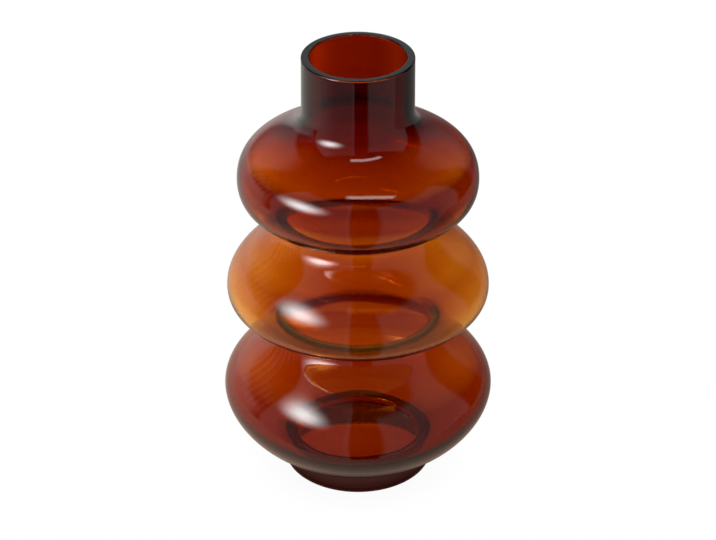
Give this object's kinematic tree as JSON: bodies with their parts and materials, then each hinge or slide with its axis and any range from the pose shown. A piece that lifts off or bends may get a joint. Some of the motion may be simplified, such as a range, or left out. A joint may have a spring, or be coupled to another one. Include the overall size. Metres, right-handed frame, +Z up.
{
  "type": "gourd vase",
  "caption": "Free-standing flower vase of amber glass: stacked round bulges under a short straight neck, on a low thick ring foot.",
  "frame": {"origin": "centre of the foot's underside, on the surface that the vase stands on", "axes": "+Z up along the vase's turning axis, through the mouth; +X and +Y alike, because the vase is round"},
  "size_m": [0.155, 0.155, 0.26],
  "materials": {
    "amber_glass": "amber glass tinted through and through, fire-polished, deeper where the wall is thick and redder towards the neck",
    "foot_glass": "the same glass as a thick ring, nearly black from the side, with a ground standing face"
  },
  "bodies": {
    "root": {"blown_body": "amber_glass", "foot": "foot_glass"}
  },
  "joints": []
}
